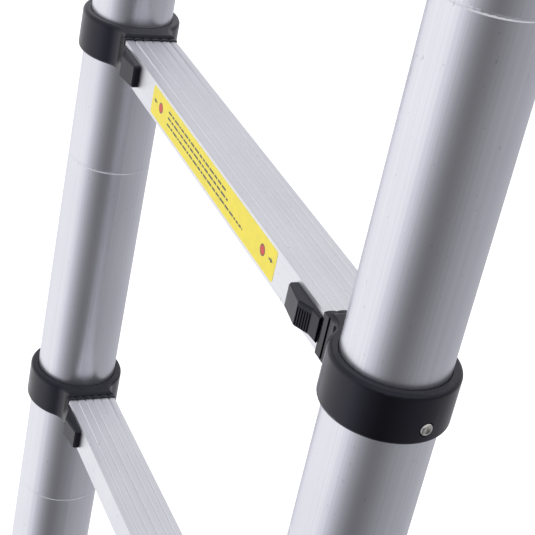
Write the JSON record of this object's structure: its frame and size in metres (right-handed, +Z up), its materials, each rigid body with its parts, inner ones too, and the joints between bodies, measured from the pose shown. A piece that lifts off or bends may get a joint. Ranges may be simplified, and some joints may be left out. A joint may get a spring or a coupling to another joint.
{
  "type": "telescopic extension ladder",
  "caption": "Telescopic extension ladder of nested round aluminium stile tubes with black locking collars, grooved rungs and thumb latches",
  "frame": {"origin": "middle of the rectangle round the two feet, on the surface that the feet stand on", "axes": "+Z up along the stiles, +X from the left stile to the right one seen from the front, -Y is the front with the latches and the label"},
  "size_m": [0.487, 0.0694, 2.0522],
  "materials": {
    "tube_aluminium": "satin anodised extrusion with faint lengthwise lines",
    "rung_aluminium": "satin anodised extrusion with a grooved tread",
    "collar_nylon": "moulded glass-filled nylon, semi-matte black",
    "latch_nylon": "moulded nylon, semi-matte black, ribbed",
    "bush_plastic": "turned low-friction plastic",
    "cap_plastic": "moulded black plastic",
    "foot_rubber": "moulded black rubber with a grooved sole",
    "pin_steel": "ground steel pin",
    "screw_steel": "stainless dome-head socket screw"
  },
  "bodies": {
    "section_1": {"stile_tubes_1": "tube_aluminium", "collars_1": "collar_nylon", "rung_1": "rung_aluminium", "screws_1": "screw_steel", "rubber_feet": "foot_rubber"},
    "section_2": {"stile_tubes_2": "tube_aluminium", "collars_2": "collar_nylon", "rung_2": "rung_aluminium", "screws_2": "screw_steel", "guide_bushes_2": "bush_plastic"},
    "section_3": {"stile_tubes_3": "tube_aluminium", "collars_3": "collar_nylon", "rung_3": "rung_aluminium", "screws_3": "screw_steel", "guide_bushes_3": "bush_plastic"},
    "section_4": {"stile_tubes_4": "tube_aluminium", "collars_4": "collar_nylon", "rung_4": "rung_aluminium", "screws_4": "screw_steel", "guide_bushes_4": "bush_plastic"},
    "section_5": {"stile_tubes_5": "tube_aluminium", "collars_5": "collar_nylon", "rung_5": "rung_aluminium", "screws_5": "screw_steel", "guide_bushes_5": "bush_plastic"},
    "section_6": {"stile_tubes_6": "tube_aluminium", "collars_6": "collar_nylon", "rung_6": "rung_aluminium", "screws_6": "screw_steel", "guide_bushes_6": "bush_plastic"},
    "section_7": {"stile_tubes_7": "tube_aluminium", "collars_7": "collar_nylon", "rung_7": "rung_aluminium", "screws_7": "screw_steel", "guide_bushes_7": "bush_plastic", "top_caps": "cap_plastic"},
    "latch_left_1": {"latch_left_1": "latch_nylon", "lock_pin_left_1": "pin_steel"},
    "latch_right_1": {"latch_right_1": "latch_nylon", "lock_pin_right_1": "pin_steel"},
    "latch_left_2": {"latch_left_2": "latch_nylon", "lock_pin_left_2": "pin_steel"},
    "latch_right_2": {"latch_right_2": "latch_nylon", "lock_pin_right_2": "pin_steel"},
    "latch_left_3": {"latch_left_3": "latch_nylon", "lock_pin_left_3": "pin_steel"},
    "latch_right_3": {"latch_right_3": "latch_nylon", "lock_pin_right_3": "pin_steel"},
    "latch_left_4": {"latch_left_4": "latch_nylon", "lock_pin_left_4": "pin_steel"},
    "latch_right_4": {"latch_right_4": "latch_nylon", "lock_pin_right_4": "pin_steel"},
    "latch_left_5": {"latch_left_5": "latch_nylon", "lock_pin_left_5": "pin_steel"},
    "latch_right_5": {"latch_right_5": "latch_nylon", "lock_pin_right_5": "pin_steel"},
    "latch_left_6": {"latch_left_6": "latch_nylon", "lock_pin_left_6": "pin_steel"},
    "latch_right_6": {"latch_right_6": "latch_nylon", "lock_pin_right_6": "pin_steel"}
  },
  "joints": [
    {"name": "section_2_slide", "type": "slide", "parent": "section_1", "child": "section_2", "axis": [0, 0, -1], "range_m": [0, 0.2619]},
    {"name": "section_3_slide", "type": "slide", "parent": "section_2", "child": "section_3", "axis": [0, 0, -1], "range_m": [0, 0.2619]},
    {"name": "section_4_slide", "type": "slide", "parent": "section_3", "child": "section_4", "axis": [0, 0, -1], "range_m": [0, 0.2619]},
    {"name": "section_5_slide", "type": "slide", "parent": "section_4", "child": "section_5", "axis": [0, 0, -1], "range_m": [0, 0.2619]},
    {"name": "section_6_slide", "type": "slide", "parent": "section_5", "child": "section_6", "axis": [0, 0, -1], "range_m": [0, 0.2619]},
    {"name": "section_7_slide", "type": "slide", "parent": "section_6", "child": "section_7", "axis": [0, 0, -1], "range_m": [0, 0.2619]},
    {"name": "latch_left_1_slide", "type": "slide", "parent": "section_1", "child": "latch_left_1", "axis": [1, 0, 0], "range_m": [0, 0.008], "stiffness_N_per_m": 400, "springref_m": -0.012},
    {"name": "latch_right_1_slide", "type": "slide", "parent": "section_1", "child": "latch_right_1", "axis": [-1, 0, 0], "range_m": [0, 0.008], "stiffness_N_per_m": 400, "springref_m": -0.012},
    {"name": "latch_left_2_slide", "type": "slide", "parent": "section_2", "child": "latch_left_2", "axis": [1, 0, 0], "range_m": [0, 0.008], "stiffness_N_per_m": 400, "springref_m": -0.012},
    {"name": "latch_right_2_slide", "type": "slide", "parent": "section_2", "child": "latch_right_2", "axis": [-1, 0, 0], "range_m": [0, 0.008], "stiffness_N_per_m": 400, "springref_m": -0.012},
    {"name": "latch_left_3_slide", "type": "slide", "parent": "section_3", "child": "latch_left_3", "axis": [1, 0, 0], "range_m": [0, 0.008], "stiffness_N_per_m": 400, "springref_m": -0.012},
    {"name": "latch_right_3_slide", "type": "slide", "parent": "section_3", "child": "latch_right_3", "axis": [-1, 0, 0], "range_m": [0, 0.008], "stiffness_N_per_m": 400, "springref_m": -0.012},
    {"name": "latch_left_4_slide", "type": "slide", "parent": "section_4", "child": "latch_left_4", "axis": [1, 0, 0], "range_m": [0, 0.008], "stiffness_N_per_m": 400, "springref_m": -0.012},
    {"name": "latch_right_4_slide", "type": "slide", "parent": "section_4", "child": "latch_right_4", "axis": [-1, 0, 0], "range_m": [0, 0.008], "stiffness_N_per_m": 400, "springref_m": -0.012},
    {"name": "latch_left_5_slide", "type": "slide", "parent": "section_5", "child": "latch_left_5", "axis": [1, 0, 0], "range_m": [0, 0.008], "stiffness_N_per_m": 400, "springref_m": -0.012},
    {"name": "latch_right_5_slide", "type": "slide", "parent": "section_5", "child": "latch_right_5", "axis": [-1, 0, 0], "range_m": [0, 0.008], "stiffness_N_per_m": 400, "springref_m": -0.012},
    {"name": "latch_left_6_slide", "type": "slide", "parent": "section_6", "child": "latch_left_6", "axis": [1, 0, 0], "range_m": [0, 0.008], "stiffness_N_per_m": 400, "springref_m": -0.012},
    {"name": "latch_right_6_slide", "type": "slide", "parent": "section_6", "child": "latch_right_6", "axis": [-1, 0, 0], "range_m": [0, 0.008], "stiffness_N_per_m": 400, "springref_m": -0.012}
  ]
}
